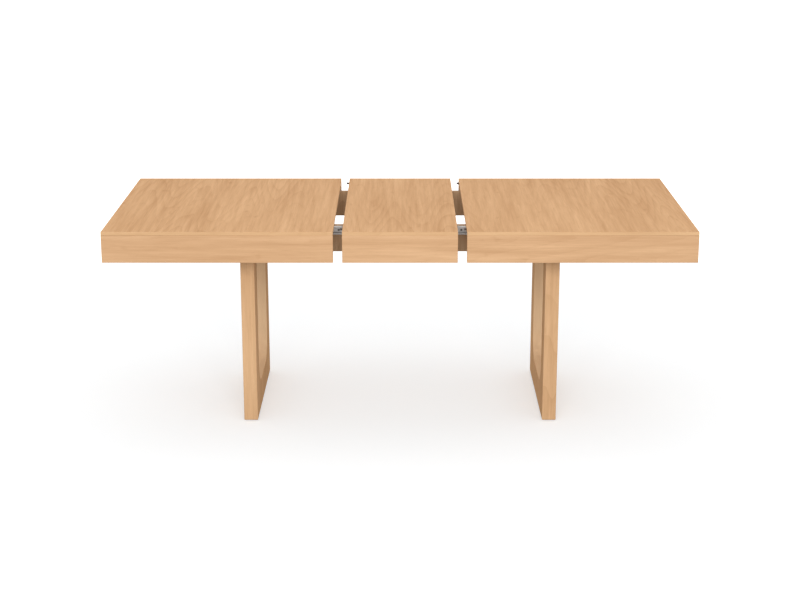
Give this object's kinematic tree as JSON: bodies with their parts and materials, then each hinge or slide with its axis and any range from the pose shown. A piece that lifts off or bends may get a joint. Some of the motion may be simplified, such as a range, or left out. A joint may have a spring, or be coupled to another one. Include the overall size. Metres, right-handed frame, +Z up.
{
  "type": "extending dining table",
  "caption": "Extending dining table: top halves that slide apart on a fixed base, a lift-out centre leaf and framed panel legs.",
  "frame": {"origin": "on the floor under the middle of the table", "axes": "+X along the table, to the right seen from the front; -Y towards the front; +Z up"},
  "size_m": [2.064, 0.9, 0.75],
  "materials": {
    "oak_top": "satin lacquered oak",
    "oak_apron": "satin lacquered oak",
    "oak_leg": "satin lacquered oak",
    "oak_rail": "plain oak",
    "beech": "plain beech",
    "slide_steel": "zinc plated",
    "zinc_steel": "zinc plated",
    "screw_steel": "yellow chromated",
    "lock_steel": "black painted",
    "pin_steel": "browned",
    "brass": "plain",
    "ball_chrome": "polished",
    "cage_steel": "plain",
    "felt": "felt",
    "rubber": "matte",
    "glide_plastic": "matte"
  },
  "bodies": {
    "base": {"left_leg_panel": "oak_leg", "right_leg_panel": "oak_leg", "front_rail": "oak_rail", "rear_rail": "oak_rail", "middle_rail": "oak_rail", "leg_glides": "glide_plastic", "angle_brackets": "zinc_steel", "leg_bolts": "screw_steel", "leg_inserts": "brass", "base_screws": "screw_steel", "left_front_channel": "slide_steel", "left_rear_channel": "slide_steel", "right_front_channel": "slide_steel", "right_rear_channel": "slide_steel", "leaf_pads": "felt", "travel_stops": "rubber"},
    "left_half": {"left_corner_blocks": "beech", "left_end_apron": "oak_apron", "left_front_apron": "oak_apron", "left_front_carrier": "beech", "left_front_runner": "slide_steel", "left_half_screws": "screw_steel", "left_inner_batten": "beech", "left_lock_plate": "lock_steel", "left_outer_batten": "beech", "left_pin_bushes": "brass", "left_rear_apron": "oak_apron", "left_rear_carrier": "beech", "left_rear_runner": "slide_steel", "left_stop_blocks": "beech", "left_top_board": "oak_top"},
    "right_half": {"right_corner_blocks": "beech", "right_end_apron": "oak_apron", "right_front_apron": "oak_apron", "right_front_carrier": "beech", "right_front_runner": "slide_steel", "right_half_screws": "screw_steel", "right_inner_batten": "beech", "right_lock_plate": "lock_steel", "right_outer_batten": "beech", "right_pins": "pin_steel", "right_rear_apron": "oak_apron", "right_rear_carrier": "beech", "right_rear_runner": "slide_steel", "right_stop_blocks": "beech", "right_top_board": "oak_top"},
    "leaf": {"leaf_board": "oak_top", "leaf_front_apron": "oak_apron", "leaf_rear_apron": "oak_apron", "leaf_left_batten": "beech", "leaf_right_batten": "beech", "leaf_pins": "pin_steel", "leaf_pin_bushes": "brass", "lock_keepers": "lock_steel"},
    "left_cages": {"left_ball_cages": "cage_steel", "left_balls": "ball_chrome"},
    "right_cages": {"right_ball_cages": "cage_steel", "right_balls": "ball_chrome"},
    "left_lock": {"left_lock_lever": "lock_steel"},
    "right_lock": {"right_lock_lever": "lock_steel"}
  },
  "joints": [
    {"name": "left_half_slide", "type": "slide", "parent": "base", "child": "left_half", "axis": [-1, 0, 0], "range_m": [-0.0315, 0.018]},
    {"name": "right_half_slide", "type": "slide", "parent": "base", "child": "right_half", "axis": [1, 0, 0], "range_m": [-0.0315, 0.018]},
    {"name": "leaf_lift", "type": "slide", "parent": "base", "child": "leaf", "axis": [0, 0, 1], "range_m": [0, 0.3]},
    {"name": "left_cage_slide", "type": "slide", "parent": "base", "child": "left_cages", "axis": [-1, 0, 0], "range_m": [-0.01575, 0.009]},
    {"name": "right_cage_slide", "type": "slide", "parent": "base", "child": "right_cages", "axis": [1, 0, 0], "range_m": [-0.01575, 0.009]},
    {"name": "left_lock_turn", "type": "hinge", "parent": "left_half", "child": "left_lock", "pos_m": [-0.262, 0, 0.708], "axis": [0, 0, 1], "range_deg": [0, 90]},
    {"name": "right_lock_turn", "type": "hinge", "parent": "right_half", "child": "right_lock", "pos_m": [0.262, 0, 0.708], "axis": [0, 0, -1], "range_deg": [0, 90]}
  ],
  "couplings": [
    {"joint": "left_cage_slide", "follows": "left_half_slide", "ratio": 0.5},
    {"joint": "right_cage_slide", "follows": "right_half_slide", "ratio": 0.5}
  ]
}
